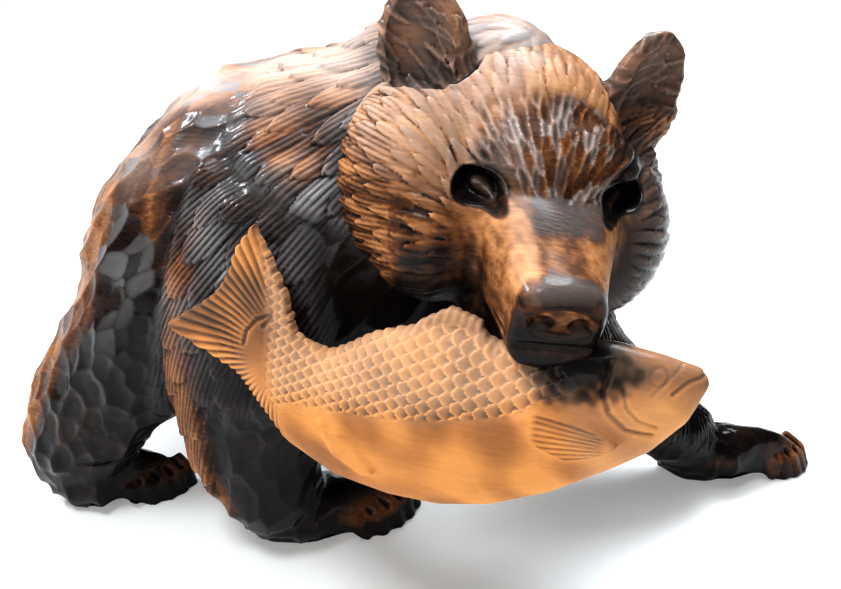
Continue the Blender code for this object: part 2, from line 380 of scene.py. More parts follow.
@dataclass(frozen=True)
class Carving:
    """One kind of cut, repeated all over a zone of the coat.

    All sizes are in millimetres. length and width are half the size of a cut. sampled is the
    share of places where a cut may start, rivals how many cuts are weighed at each place.
    """

    stroke: Stroke
    length: float
    width: float
    depth: float
    pitch: float = 0.0
    groove: float = 0.0
    lean: float = 0.0
    seed: int = 1
    sampled: float = 0.34
    rivals: int = 12

    def seeds(self, surface: Surface, chosen: Array) -> Array:
        """Spreads the cuts evenly: no two are nearer than the spacing that the sizes give."""
        chance = random.Random(self.seed)
        spacing = 1.05 * math.sqrt(self.length * self.width) * MM
        order = [int(i) for i in np.flatnonzero(chosen)]
        chance.shuffle(order)
        tries = kdtree.KDTree(len(order))
        for k, i in enumerate(order):
            tries.insert(surface.places[i], k)
        tries.balance()
        free = np.ones(len(order), bool)
        kept = []
        for k, i in enumerate(order):
            if free[k]:
                kept.append(i)
                for _, near, _ in tries.find_range(surface.places[i], spacing):
                    free[near] = False
        return np.array(kept)

    def cells(self, surface: Surface, flow: Array, mask: Array) -> tuple[Array, Array]:
        """The height that the cuts give each place, and a random number for each cut.

        Args:
            surface: what is carved.
            flow: the way the hair lies at each place.
            mask: 0 where nothing is cut.

        Returns:
            Heights in millimetres, and one chance between 0 and 1 for each place.
        """
        chosen = mask > 0.01
        height, luck = np.zeros(len(mask)), np.full(len(mask), 0.5)
        if not chosen.any():
            return height, luck
        chance = np.random.default_rng(self.seed).random(len(mask))
        seeds = self.seeds(surface, chosen & (chance < self.sampled))
        tree = kdtree.KDTree(len(seeds))
        for k, i in enumerate(seeds):
            tree.insert(surface.places[i], k)
        tree.balance()
        count = min(len(seeds), self.rivals)
        here = np.flatnonzero(chosen)
        near = np.array(
            [[k for _, k, _ in tree.find_n(place, count)] for place in surface.places[here]]
        )
        aside = np.cross(surface.normals, flow)
        gap = (surface.places[here][:, None] - surface.places[seeds][near]) / MM
        along = (gap * flow[seeds][near]).sum(2) / self.length
        across = (gap * aside[seeds][near]).sum(2) / self.width
        numbers = np.random.default_rng(self.seed + 7).random(len(seeds))
        if self.stroke is Stroke.SCOOP:
            leans = np.random.default_rng(self.seed + 9).uniform(-1.0, 1.0, (2, len(seeds)))
            each = 0.75 * (across**2 + along**2) - 1.0 + self.lean * leans[0][near] * across
            each += (0.3 + 0.6 * self.lean * leans[1][near]) * along + 0.5 * (numbers[near] - 0.5)
            best = np.argmin(each, axis=1)
        else:
            narrow = np.sqrt(np.clip(1.0 - np.clip(along + 0.1, 0, 1.1) ** 2.2 / 1.1, 0.01, 1.0))
            side = across / narrow
            inside = (np.abs(side) < 1.0) & (np.abs(along) < 1.0)
            each = np.where(inside, 0.2 + 0.4 * (along + 1.0) - 0.35 * side**2, -0.2)
            each += 0.25 * (numbers[near] - 0.5)
            best = np.argmax(each, axis=1)
        row = np.arange(len(here))
        value = each[row, best]
        value = np.clip(value, -1.1, 0.5 if self.stroke is Stroke.SCOOP else 1.1)
        height[here] = value * self.depth
        if self.pitch:
            wave = across[row, best] * self.width / self.pitch + numbers[near][row, best] * 5
            height[here] -= self.groove * furrows(wave, 1.6)
        luck[here] = numbers[near][row, best]
        return height * mask, luck


def carve(
    surface: Surface, flow: Array, zones: Sequence[tuple[Carving, Array]]
) -> tuple[Array, Array]:
    """Cuts each zone with its own carving.

    Args:
        surface: what is carved.
        flow: the way the hair lies at each place.
        zones: each carving with the mask of its zone.

    Returns:
        Heights in millimetres, and one chance between 0 and 1 for each place.
    """
    height = np.zeros(len(flow))
    luck = np.full(len(flow), 0.5)
    for carving, zone in zones:
        lift, chance = carving.cells(surface, flow, zone)
        height += lift
        luck = np.where(zone > 0.5, chance, luck)
        LOG.info("%s cuts in %d places", carving.stroke.name.lower(), int((zone > 0.5).sum()))
    return height, luck


def furrows(phase: Array, sharpness: float) -> Array:
    """A row of furrows, 1 at each whole number of the phase and 0 halfway to the next."""
    return np.abs(2.0 * (phase % 1.0) - 1.0) ** sharpness


def off_oval(across: Array, up: Array, oval_at: Oval) -> Array:
    """0 in the middle of an oval, given by its middle and half axes, 1 on its rim, more beyond."""
    (side, height), (half_width, half_height) = oval_at
    return np.hypot((across - side) / half_width, (up - height) / half_height)


def dragged(surface: Surface, pull: Array) -> Array:
    """A pull at each place, laid along the surface and brought to length 1."""
    flat = pull - surface.normals * (pull * surface.normals).sum(1)[:, None]
    return flat / np.maximum(np.linalg.norm(flat, axis=1), 1e-9)[:, None]


def away_from(places: Array, centre: Place) -> Array:
    """Directions of length 1 out of a centre."""
    out = places - np.array(centre)
    return out / np.linalg.norm(out, axis=1)[:, None]


def distance_to_path(places: Array, path: Sequence[Sequence[float]]) -> Array:
    """How far each place is from a line through the path's points, in two or three dimensions."""
    best = np.full(len(places), 1e9)
    for start, end in zip(path, path[1:]):
        a, b = np.array(start, float), np.array(end, float)
        part = np.clip(((places - a) @ (b - a)) / ((b - a) @ (b - a)), 0.0, 1.0)
        best = np.minimum(best, np.linalg.norm(places - a - part[:, None] * (b - a), axis=1))
    return best


def groove(places: Array, path: Sequence[Sequence[float]], width: float, depth: float) -> Array:
    """The height of a V cut along a path: minus depth in its middle, 0 beyond half its width."""
    return -depth * np.clip(1.0 - 2.0 * distance_to_path(places, path) / width, 0.0, 1.0)


def thinned(obj: bpy.types.Object, triangles: int) -> bpy.types.Object:
    """Brings an object's faces down to a number of triangles."""
    obj.data.calc_loop_triangles()
    now = len(obj.data.loop_triangles)
    if now > triangles:
        thin = obj.modifiers.new("Thin", "DECIMATE")
        thin.ratio = triangles / now
        settled(obj)
    return obj


@dataclass(frozen=True)
class WoodFinish:
    """Stained, oiled, rubbed wood from bare golden to nearly black, with painted shade in recesses.

    The paint names are read from the mesh: the stain layer darkens with staining and painted shade
    and lightens with wear and painted light, the ash layer greys with the wood's grey and painted
    sheen, relief marks cuts and ridges, chance varies one cut from the next.
    """

    name: str
    tones: tuple[tuple[float, tuple[float, float, float]], ...] = (
        (0.00, (0.62, 0.34, 0.16)),
        (0.28, (0.40, 0.185, 0.075)),
        (0.52, (0.14, 0.055, 0.023)),
        (0.74, (0.030, 0.015, 0.010)),
        (0.95, (0.006, 0.004, 0.004)),
    )
    ash_and_sheen: tuple[float, float, float] = (0.36, 0.29, 0.25)
    # How much painted shade darkens the recesses.
    painted_shade: float = 0.55
    dull: float = 0.5
    glossy: float = 0.24
    grain: float = 0.34
    cloud: float = 0.34
    pooled: float = 0.8
    varied: float = 0.3
    coat: float = 0.24
    sheen: float = 0.06
    coat_blur: float = 0.12
    hollow_reach: float = 0.035
    hollow_samples: int = 6
    grain_run: Place = (60.0, 900.0, 900.0)
    cloud_scale: float = 70.0
    grain_depth: float = 0.00025
    grain_strength: float = 0.8

    def build(self) -> bpy.types.Material:
        """The finish as a material."""
        material = bpy.data.materials.new(self.name)
        material.use_nodes = True
        tree = material.node_tree
        shader = tree.nodes["Principled BSDF"]
        link = tree.links.new

        def node(kind: str, **settings: object) -> bpy.types.Node:
            """A new node with its settings."""
            made = tree.nodes.new(kind)
            for key, value in settings.items():
                setattr(made, key, value)
            return made

        def paint(name: str) -> bpy.types.NodeSocket:
            """A mask kept on the mesh."""
            return node("ShaderNodeAttribute", attribute_name=name).outputs["Fac"]

        def math_of(operation: str, first: object, second: object) -> bpy.types.NodeSocket:
            """One sum of two sockets or numbers."""
            made = node("ShaderNodeMath", operation=operation)
            for socket, value in zip(made.inputs, (first, second)):
                if isinstance(value, bpy.types.NodeSocket):
                    link(value, socket)
                else:
                    socket.default_value = value
            return made.outputs[0]

        def swing(value: bpy.types.NodeSocket, amount: float) -> bpy.types.NodeSocket:
            """How far a value stands over a half, times an amount."""
            return math_of("MULTIPLY", math_of("SUBTRACT", value, 0.5), amount)

        def blotches(scale: float, stretch: Place, detail: float) -> bpy.types.NodeSocket:
            """Noise in the model's own metres."""
            where = node("ShaderNodeTexCoord").outputs["Object"]
            place = node("ShaderNodeMapping")
            place.inputs["Scale"].default_value = stretch
            link(where, place.inputs["Vector"])
            noise = node("ShaderNodeTexNoise")
            noise.inputs["Scale"].default_value = scale
            noise.inputs["Detail"].default_value = detail
            link(place.outputs[0], noise.inputs["Vector"])
            return noise.outputs["Fac"]

        grain = blotches(1.0, self.grain_run, 4.0)
        cloud = blotches(self.cloud_scale, (1.0, 1.0, 1.0), 3.0)
        # Painted shade: ambient occlusion darkens the colour in recesses and thins the coat there.
        hollow = node("ShaderNodeAmbientOcclusion", samples=self.hollow_samples)
        hollow.inputs["Distance"].default_value = self.hollow_reach
        shade = math_of("SUBTRACT", 1.0, hollow.outputs["AO"])
        tone = paint("stain_and_shade")
        for part in (
            swing(grain, self.grain),
            swing(cloud, self.cloud),
            swing(paint("relief"), -self.pooled),
            swing(paint("chance"), self.varied),
            math_of("MULTIPLY", shade, self.painted_shade),
        ):
            tone = math_of("ADD", tone, part)
        ramp = node("ShaderNodeValToRGB")
        points = ramp.color_ramp.elements
        while len(points) < len(self.tones):
            points.new(1.0)
        for point, (position, colour) in zip(points, self.tones):
            point.position = position
            point.color = (*colour, 1.0)
        link(tone, ramp.inputs[0])
        mix = node("ShaderNodeMix", data_type="RGBA")
        link(paint("ash_and_sheen"), mix.inputs["Factor"])
        link(ramp.outputs[0], mix.inputs["A"])
        mix.inputs["B"].default_value = (*self.ash_and_sheen, 1.0)
        link(mix.outputs["Result"], shader.inputs["Base Color"])
        rough = node("ShaderNodeMapRange")
        rough.inputs["To Min"].default_value = self.dull
        rough.inputs["To Max"].default_value = self.glossy
        link(paint("stain_and_shade"), rough.inputs["Value"])
        link(rough.outputs[0], shader.inputs["Roughness"])
        shader.inputs["Specular IOR Level"].default_value = self.sheen
        shader.inputs["Coat Roughness"].default_value = self.coat_blur
        waxed = math_of("MULTIPLY", paint("stain_and_shade"), math_of("SUBTRACT", 1.0, shade))
        link(math_of("MULTIPLY", waxed, self.coat), shader.inputs["Coat Weight"])
        bump = node("ShaderNodeBump")
        bump.inputs["Strength"].default_value = self.grain_strength
        bump.inputs["Distance"].default_value = self.grain_depth
        link(grain, bump.inputs["Height"])
        link(bump.outputs[0], shader.inputs["Normal"])
        return material


@dataclass
class Piece:
    """A finished carving ready to stand for its share of the solid."""

    name: str
    obj: bpy.types.Object
    finish: WoodFinish
    triangles: int = 196000

    def place(self) -> None:
        """Thins it, sets it on the ground, gives it its finish and joins it to the frame."""
        obj = thinned(self.obj, self.triangles)
        Surface(obj).ground(0.0)
        obj.data.polygons.foreach_set("use_smooth", [True] * len(obj.data.polygons))
        obj.data.set_sharp_from_angle(angle=math.radians(48))
        obj.name = self.name
        obj.data.name = self.name
        obj.data.materials.clear()
        obj.data.materials.append(self.finish.build())
        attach(obj, "root")
        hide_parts("carved_bear")
        obj.data.calc_loop_triangles()
        LOG.info("%s: %d triangles", self.name, len(obj.data.loop_triangles))


@dataclass(frozen=True)
class Foot:
    """A foot by its heel, its first and last claw tips, its width and its claws' slope."""

    heel: tuple[float, float]
    first: tuple[float, float]
    last: tuple[float, float]
    width: float
    slope: float = 1.0

    def plan(self) -> tuple[Vector, Vector, Vector, Vector]:
        """The heel, the middle of the claw row, half of that row and the way the claws point."""
        heel, first, last = (Vector((*place, 0)) for place in (self.heel, self.first, self.last))
        middle, row = (first + last) / 2, (last - first) / 2
        ahead = Vector((row.y, -row.x, 0)).normalized() + (middle - heel).normalized()
        return heel, middle, row, ahead

    def tip(self, part: float) -> Vector:
        """A place in the bowed row of claw tips, from -1 at the first one to 1 at the last."""
        _, middle, row, ahead = self.plan()
        return middle + row * part + ahead * (2.5 - 2.5 * part * part)

    def add(self, mass: Mass) -> None:
        """Adds the foot and its five claws."""
        heel, middle, row, ahead = self.plan()
        along = middle - heel
        aside = Vector((-along.y, along.x, 0)).normalized()
        rings = [
            (heel - along * 0.25 + Vector((0, 0, 11)), aside * self.width * 0.30, 8),
            (heel + Vector((0, 0, 13)), aside * self.width * 0.5, 15),
            (heel + along * 0.4 + Vector((0, 0, 14)), aside * self.width * 0.58, 17),
            (heel + along * 0.75 + Vector((0, 0, 11)), aside * 3 + row * 1.12, 14),
            (heel + along * 0.9 + Vector((0, 0, 8)), row * 1.1, 9.5),
        ]
        mass.loft([oval(BODY, place, across, (0, 0, rise)) for place, across, rise in rings])
        for i in range(5):
            tip = self.tip((i - 2) / 2)
            claw = [
                (tip - ahead * 7 * self.slope + Vector((0, 0, 13)), self.width * 0.15, 6),
                (tip - ahead * 3 * self.slope + Vector((0, 0, 9)), self.width * 0.145, 5.5),
                (tip - ahead * 1.5 + Vector((0, 0, -1)), self.width * 0.12, 4.5),
            ]
            mass.limb(BODY, claw, up=ahead)

    def toes(self, at: Array) -> tuple[Array, Array]:
        """The slots between the claws in millimetres, and how near each place is to the toes."""
        ahead = np.array(self.plan()[3])
        height = np.zeros(len(at))
        for part in (-0.75, -0.25, 0.25, 0.75):
            tip = np.array(self.tip(part))
            back = tip - ahead * 8 * self.slope + np.array((0.0, 0.0, 19.0))
            bend = tip - ahead * 2.5 * self.slope + np.array((0.0, 0.0, 14.0))
            height += groove(at, (back, bend, tip), 3.4, 2.2)
        near = distance_to_path(at[:, :2], (self.first, self.last))
        return height, smoothstep(26, 14, near) * (at[:, 2] < 34)

    def arch(self, at: Array) -> Array:
        """How high the hollow under the sole reaches over each drawn place."""
        toes = (np.array(self.first) + np.array(self.last)) / 2
        heel = np.array(self.heel)
        along = toes - heel
        reach = 0.36 * np.linalg.norm(along)
        along = along / np.linalg.norm(along)
        gap = at[:, :2] - (heel * 0.52 + toes * 0.48)
        far = (gap @ along / reach) ** 2
        far += ((gap @ np.array((-along[1], along[0]))) / (self.width * 1.2)) ** 2
        return -4.0 + 10.5 * np.sqrt(np.clip(1.0 - far, 0.0, 1.0))


@dataclass(frozen=True)
class Coat:
    """Masks of the body's zones, 1 inside and 0 outside."""

    shoulder: Array
    haired: Array
    maned: Array
    crested: Array
    inner: Array
    rest: Array


@dataclass
class Body:
    """Trunk, neck, legs and feet, carved in one and parted in three closed pieces."""

    voxel: float = 0.78
    triangles: int = 560000
    waist: float = -34.0
    parting: float = 57.0
    # The grey of the shoulder, mixed in together with its painted sheen.
    grey_and_sheen: Place = (0.45, 0.43, 0.43)
    hair_root: Place = (104, 60, 236)
    humps: tuple[tuple[Place, Place, Place], ...] = (
        ((56, 74, 194), (46, 38, 40), (0, 0, 0)),
        ((87, 61, 203), (31, 30, 37), (0, 0, 0)),
        ((-109, 73, 108), (11, 10, 16), (0, -24, 0)),
    )
    trunk: tuple[Section, ...] = (
        ((-114, 72, 102), 18, 22),
        ((-106, 71, 106), 37, 36),
        ((-89, 69, 113), 55, 52),
        ((-64, 69, 122), 65, 68),
        ((-36, 69, 131), 69, 80),
        ((-8, 70, 135), 69, 80),
        ((20, 69, 141), 68, 79),
        ((48, 68, 147), 65, 78),
        ((72, 66, 148), 58, 70),
        ((92, 64, 142), 44, 54),
        ((104, 62, 138), 24, 32),
    )
    neck: tuple[Section, ...] = (
        ((30, 70, 165), 50, 52),
        ((70, 62, 184), 45, 46),
        ((104, 50, 188), 36, 36),
    )
    right_foreleg: tuple[Section, ...] = (
        ((36, 42, 182), 22, 20),
        ((25, 29, 170), 27, 34),
        ((15, 20, 154), 27, 43),
        ((4, 15, 132), 27, 45),
        ((-1, 13, 104), 27, 42),
        ((-5, 12, 76), 26, 36),
        ((-6, 12, 50), 25, 32),
        ((-1, 12, 28), 24, 27),
        ((6, 14, 14), 22, 22),
    )
    left_foreleg: tuple[Section, ...] = (
        ((64, 82, 180), 16, 18),
        ((72, 88, 172), 25, 28),
        ((80, 94, 158), 29, 34),
        ((88, 99, 130), 28, 36),
        ((101, 102, 98), 27, 32),
        ((124, 104, 66), 24, 27),
        ((154, 108, 42), 21, 23),
        ((176, 113, 27), 19, 20),
        ((192, 120, 18), 16, 16),
    )
    right_hind_leg: tuple[Section, ...] = (
        ((-30, 34, 150), 26, 32),
        ((-44, 29, 126), 33, 36),
        ((-64, 24, 98), 33, 36),
        ((-84, 18, 70), 28, 35),
        ((-100, 11, 46), 24, 32),
        ((-108, 8, 28), 22, 30),
        ((-105, 8, 14), 20, 26),
    )
    left_hind_leg: tuple[Section, ...] = (
        ((-50, 106, 150), 26, 34),
        ((-62, 112, 124), 32, 40),
        ((-76, 116, 96), 30, 38),
        ((-88, 118, 68), 25, 31),
        ((-96, 118, 44), 21, 26),
        ((-96, 118, 24), 19, 22),
        ((-92, 118, 14), 18, 18),
    )
    feet: tuple[Foot, ...] = (
        Foot((-3, 13), (44, 21), (60, 49), 36),
        Foot((-108, 3), (-74, 6), (-56, 28), 32),
        Foot((184, 118), (231, 125), (248, 142), 30, 1.4),
        Foot((-96, 117), (-52, 122), (-36, 145), 32),
    )
    gouge: Carving = Carving(Stroke.SCOOP, length=10.0, width=5.6, depth=2.1, lean=1.0, seed=3)
    wide_gouge: Carving = Carving(Stroke.SCOOP, length=14.0, width=7.0, depth=2.4, lean=1.0, seed=5)
    combed: Carving = Carving(
        Stroke.TUFT, length=20.0, width=8.5, depth=2.8, pitch=2.3, groove=0.8, seed=11
    )
    strokes: Carving = Carving(Stroke.TUFT, length=9.0, width=2.8, depth=1.0, seed=17)
    mane: Carving = Carving(
        Stroke.TUFT, length=18.0, width=6.0, depth=3.0, pitch=2.4, groove=0.6, seed=13
    )

    def shape(self, detail: float) -> bpy.types.Object:
        """The uncarved body as one skin."""
        mass = Mass()
        rings = [oval(BODY, place, (0, wide, 0), (0, 0, rise)) for place, wide, rise in self.trunk]
        mass.loft(rings)
        for hump in self.humps:
            mass.ellipsoid(BODY, *hump)
        mass.limb(BODY, self.neck)
        for leg in (self.right_foreleg, self.left_foreleg, self.right_hind_leg, self.left_hind_leg):
            mass.limb(BODY, leg, up=(1, 0, 0))
        coarse = fused(mass.made("trunk"), 3.0, 14)
        feet = Mass()
        for foot in self.feet:
            foot.add(feet)
        whole = fused(joined("body", [coarse, feet.made("feet")]), 1.5, 2)
        return fused(whole, self.voxel * detail, 3)

    def flow(self, surface: Surface, at: Array) -> Array:
        """The hair lies back from the neck on the trunk and down on the legs."""
        out = away_from(at, self.hair_root)
        down = smoothstep(150, 70, at[:, 2])[:, None]
        pull = out * (1.0 - 0.75 * down) + np.array((-0.2, 0.0, -1.0)) * (0.25 + down)
        return dragged(surface, pull)

    def hollowed(self, surface: Surface) -> Array:
        """Hollows the soles, flattens them on the ground and gives the places as drawn."""
        at = surface.local(BODY)
        for foot in self.feet:
            at[:, 2] = np.maximum(at[:, 2], np.where(at[:, 2] < 12, foot.arch(at), -9.0))
        at[:, 2] = np.maximum(at[:, 2], 0.0)
        surface.places = (at - np.array(MIDDLE)) * MM
        surface.write()
        return at

    def coat(self, at: Array) -> Coat:
        """Where the shoulder's combed locks, the mane, the crest and the gouge cuts lie."""
        x, y, z = at.T
        right = smoothstep(62, 48, y)
        shoulder = smoothstep(-44, -36, x - 0.25 * (z - 110)) * smoothstep(24, 40, z)
        shoulder *= smoothstep(46, 34, x) * right * smoothstep(190, 176, z + 0.3 * x)
        shoulder *= np.maximum(smoothstep(74, 100, z), smoothstep(-12, -20, x))
        left_leg = smoothstep(66, 76, x) * smoothstep(80, 90, y) * smoothstep(26, 40, z)
        haired = np.maximum(shoulder, left_leg * smoothstep(170, 150, z))
        inner = smoothstep(28, 42, y) * smoothstep(104, 92, y) * smoothstep(120, 96, z)
        inner = np.maximum.reduce([inner, smoothstep(104, 84, z) * (x > -40), smoothstep(34, 22, z)])
        inner = np.maximum(inner, smoothstep(34, 44, x) * smoothstep(165, 145, z) * right)
        inner *= 1.0 - haired
        maned = smoothstep(176, 190, z + 0.3 * x) * (1.0 - haired) * smoothstep(-20, 0, x)
        maned *= 1.0 - inner
        crested = maned * smoothstep(52, 60, x) * smoothstep(196, 204, z)
        rest = (1.0 - haired) * (1.0 - maned) * (1.0 - inner)
        return Coat(shoulder, haired, maned, crested, inner, rest)

    def carved(self, detail: float) -> bpy.types.Object:
        """The whole body with its cuts and its paint."""
        surface = Surface(self.shape(detail))
        at = self.hollowed(surface)
        normals = surface.normals
        coat = self.coat(at)
        zones = (
            (self.strokes, coat.crested),
            (self.gouge, coat.rest),
            (self.wide_gouge, coat.inner),
            (self.combed, coat.haired),
            (self.mane, coat.maned - coat.crested),
        )
        height, luck = carve(surface, self.flow(surface, at), zones)
        for foot in self.feet:
            slots, near = foot.toes(at)
            height = height * (1.0 - 0.8 * near) + slots
        surface.press(height * smoothstep(0.2, 4.0, at[:, 2]))
        surface.ground(0.0)
        self.stain_and_shade(surface, at, normals, coat, height, luck)
        return surface.obj

    def stain_and_shade(
        self, surface: Surface, at: Array, normals: Array, coat: Coat, height: Array, luck: Array
    ) -> None:
        """Paints dark staining, ridges pale from wear and a grey shoulder, with painted shade,
        painted light and painted sheen.

        Args:
            surface: the carved body.
            at: where each place was drawn.
            normals: which way each place faced before it was cut.
            coat: the zones.
            height: how high the cuts left each place, in millimetres.
            luck: a chance for each cut.
        """
        x, y, z = at.T
        nx, ny, nz = normals.T
        worn_leg = smoothstep(0.3, 0.8, -0.9 * nx - 0.36 * ny) * smoothstep(-50, -42, x)
        worn_leg *= smoothstep(44, 34, y) * smoothstep(6, -12, x)
        # rim: the hind leg's faces towards the back and up are painted paler: wear and painted light.
        rim = smoothstep(0.35, 0.9, -0.85 * nx - 0.25 * ny + 0.3 * nz) * smoothstep(-60, -74, x)
        # top: upward faces of the back are painted paler and creamier: wear and painted light from
        # above.
        top = smoothstep(0.4, 0.9, nz) * smoothstep(120, 160, z)
        top *= 0.75 + 0.5 * waver(at, 26, 6)
        crest = smoothstep(36, 60, x) * smoothstep(196, 216, z)
        # heel: upward faces of the feet are painted paler: wear and painted highlight.
        heel = smoothstep(30, 12, z) * smoothstep(0.1, 0.7, nz + 0.4 * np.abs(ny))
        # The paler mask: wear on the foreleg's back edge and the crest, painted light on the top, rim
        # and heels.
        worn_and_lit = np.maximum.reduce([0.74 * worn_leg, 0.72 * rim, top, 0.9 * crest, 0.6 * heel])
        # The shoulder and mane's grey on cut ridges: the wood's grey with painted sheen.
        grey_and_sheen = np.maximum(coat.shoulder, coat.maned * smoothstep(40, 20, y))
        grey_and_sheen *= smoothstep(96, 156, z)
        stain_and_shade = 0.84 - 0.6 * worn_and_lit + 0.1 * waver(at, 34, 4) + 0.1 * grey_and_sheen
        # Painted shade: darker between the legs, under the belly and on faces that point down.
        stain_and_shade += 0.14 * coat.inner * smoothstep(-0.9, -0.2, nx) + 0.15 * smoothstep(0.0, -0.7, nz)
        stain_and_shade += 0.2 * smoothstep(130, 90, z) * smoothstep(0.4, 0.1, worn_and_lit)
        stain_and_shade += 0.14 * coat.maned * smoothstep(30, 10, y)
        relief = surface.ridges(height, 10, 0.5)
        # Grey on the shoulder's cut ridges with painted sheen, and the paler crest.
        ash_and_sheen = 0.66 * grey_and_sheen * (0.2 + 1.1 * luck) + 0.5 * crest
        ash_and_sheen *= (0.7 + 0.5 * waver(at, 22, 9)) * smoothstep(0.3, 0.8, relief)
        # Painted highlights on some upward gouge facets of the back and hindquarters.
        facet_glint = coat.rest * smoothstep(70, 110, z) * smoothstep(-0.1, 0.5, nz)
        facet_glint *= smoothstep(0.45, 0.75, luck) * smoothstep(0.75, 0.4, relief)
        # Painted highlights on those facets and painted light on the top of the back.
        ash_and_sheen += 0.3 * facet_glint + 0.6 * top * (1.0 - grey_and_sheen) * (0.5 + 0.7 * relief)
        surface.paint(stain_and_shade=stain_and_shade, ash_and_sheen=ash_and_sheen, relief=relief, chance=luck)

    def pieces(self, detail: float) -> list[Piece]:
        """The body in three closed pieces that meet at flat cuts."""
        whole = thinned(self.carved(detail), self.triangles)
        waist, spine = spot(self.waist, 0, 0), spot(0, self.parting, 0)
        parts = (
            ("hindquarters", ((waist, (1, 0, 0)),)),
            ("right_forequarter", ((waist, (-1, 0, 0)), (spine, (0, 1, 0)))),
            ("left_forequarter", ((waist, (-1, 0, 0)), (spine, (0, -1, 0)))),
        )
        made = []
        for name, cuts in parts:
            obj = linked(whole.copy())
            obj.data = whole.data.copy()
            for point, away in cuts:
                sliced(obj, point, away)
            LOG.info("%s: %d faces before thinning", name, len(obj.data.polygons))
            made.append(Piece(name, obj, WoodFinish(f"{name}_wood", ash_and_sheen=self.grey_and_sheen)))
        bpy.data.objects.remove(whole)
        return made


@dataclass(frozen=True)
class Face:
    """Masks of the head's zones, 1 inside and 0 outside."""

    ear: Array
    socket: Array
    bare: Array
    brow: Array
    ruff: Array
    fine: Array


@dataclass
class Head:
    """Skull, ears, muzzle and nose, drawn about the middle of the skull."""

    voxel: float = 0.66
    cream: Place = (0.50, 0.40, 0.35)
    hair_root: Place = (78, 0, -6)
    skull: tuple[tuple[Place, Place], ...] = (
        ((-6, -6, 6), (42, 40, 35)),
        ((20, 0, 8), (24, 35, 22)),
        ((16, 28, -18), (32, 25, 32)),
        ((18, -33, -16), (37, 28, 31)),
        ((-4, 32, -22), (28, 24, 38)),
        ((8, -43, -8), (34, 28, 38)),
    )
    nose: tuple[Place, Place] = ((84, 0, -6), (7, 14.5, 9.5))
    muzzle: tuple[Section, ...] = (
        ((12, 0, -6), 38, 28),
        ((32, 0, -8), 30, 22),
        ((50, 0, -10), 24, 20),
        ((66, 0, -12), 19, 18),
        ((78, 0, -13), 16, 17),
        ((87, 0, -13), 14.5, 16.5),
    )
    jaw: tuple[Section, ...] = (
        ((10, 0, -30), 34, 20),
        ((34, 0, -32), 29, 17),
        ((54, 0, -34), 23, 14),
        ((72, 0, -38), 15, 9),
    )
    lip: tuple[Place, ...] = (
        (86, 10, -18.5), (82, 14, -19), (70, 18.5, -20), (58, 23.5, -25),
    )
    ears: tuple[tuple[Place, Place, Place], ...] = (
        ((-9, 38, 26), (9, 18, 27), (22, -14, -24)),
        ((-8, -45, 34), (9, 19, 26), (-24, -14, 20)),
    )
    eyeball: Oval = ((23.6, 8.4), (4.8, 2.8))
    nose_front: Oval = ((0.0, -8.5), (12.0, 7.4))
    nostril: Oval = ((5.6, -9.0), (3.6, 3.4))
    mouth_height: float = -18.5
    strokes: Carving = Carving(Stroke.TUFT, length=9.0, width=1.9, depth=1.0, seed=21)
    ruff: Carving = Carving(
        Stroke.TUFT, length=11.0, width=3.1, depth=1.9, pitch=2.0, groove=0.5, seed=23
    )
    brow: Carving = Carving(Stroke.SCOOP, length=6.0, width=1.7, depth=0.9, lean=0.9, seed=25)
    ear_cuts: Carving = Carving(Stroke.SCOOP, length=9.0, width=2.8, depth=1.4, lean=0.9, seed=27)

    def shape(self, detail: float) -> bpy.types.Object:
        """The uncarved head as one skin, its sockets, ears and nostrils hollowed."""
        mass = Mass()
        for centre, radii in self.skull:
            mass.ellipsoid(HEAD, centre, radii)
        mass.limb(HEAD, self.muzzle, power=0.62)
        mass.limb(HEAD, self.jaw)
        coarse = fused(mass.made("skull"), 2.0, 5)
        fine, hollows = Mass(), Mass()
        fine.ellipsoid(HEAD, *self.nose)
        for centre, radii, turn in self.ears:
            fine.ellipsoid(HEAD, centre, radii, turn)
            front = Vector(centre) + turned(*turn) @ Vector((11, 0, 2))
            hollows.ellipsoid(HEAD, front, (9.5, radii[1] - 4.5, radii[2] - 4), turn)
        whole = fused(joined("head", [coarse, fine.made("ears")]), 1.3, 1)
        cut(whole, hollows.made("hollows"))
        whole = fused(whole, self.voxel * detail, 1)
        surface = Surface(whole)
        at = surface.local(HEAD)
        sunk = self.eyes(at) + self.nostrils(at)
        at += sunk[:, None] * np.array((1.0, 0.0, 0.12))
        surface.set_local(HEAD, at)
        return fused(whole, self.voxel * detail, 1)

    def socket(self, at: Array) -> Array:
        """1 in the middle of an eye socket, 0 on its rim and below 0 outside it."""
        x, y, z = at.T
        up = z - 8.4 + 0.08 * (np.abs(y) - 25)
        high = np.where(up > 0, 5.4, 4.4)
        far = (np.abs((np.abs(y) - 25) / 9.4) ** 2.3 + np.abs(up / high) ** 2.3) ** (1 / 2.3)
        return np.where(x > 8, 1.0 - far, -1.0)

    def eyes(self, at: Array) -> Array:
        """How far the sockets go in, and the eyeballs out of them, in millimetres."""
        ball = off_oval(np.abs(at[:, 1]), at[:, 2], self.eyeball)
        depth = 7.5 * smoothstep(0.0, 0.4, self.socket(at))
        depth -= 4.4 * np.sqrt(np.clip(1.0 - ball**2, 0.0, 1.0))
        return -depth

    def nostrils(self, at: Array) -> Array:
        """How far the front of the nose is hollowed under its rim, in millimetres."""
        x, y, z = at.T
        depth = 2.8 * smoothstep(1.0, 0.78, off_oval(y, z, self.nose_front))
        pit = off_oval(np.abs(y) + 0.2 * (z - self.nostril[0][1]), z, self.nostril)
        depth += 3.6 * np.sqrt(np.clip(1.0 - pit**2, 0.0, 1.0))
        line = smoothstep(1.7, 0.4, np.abs(z - self.mouth_height))
        depth += 1.2 * line * smoothstep(14, 11, np.abs(y))
        return -depth * smoothstep(80, 84, x)

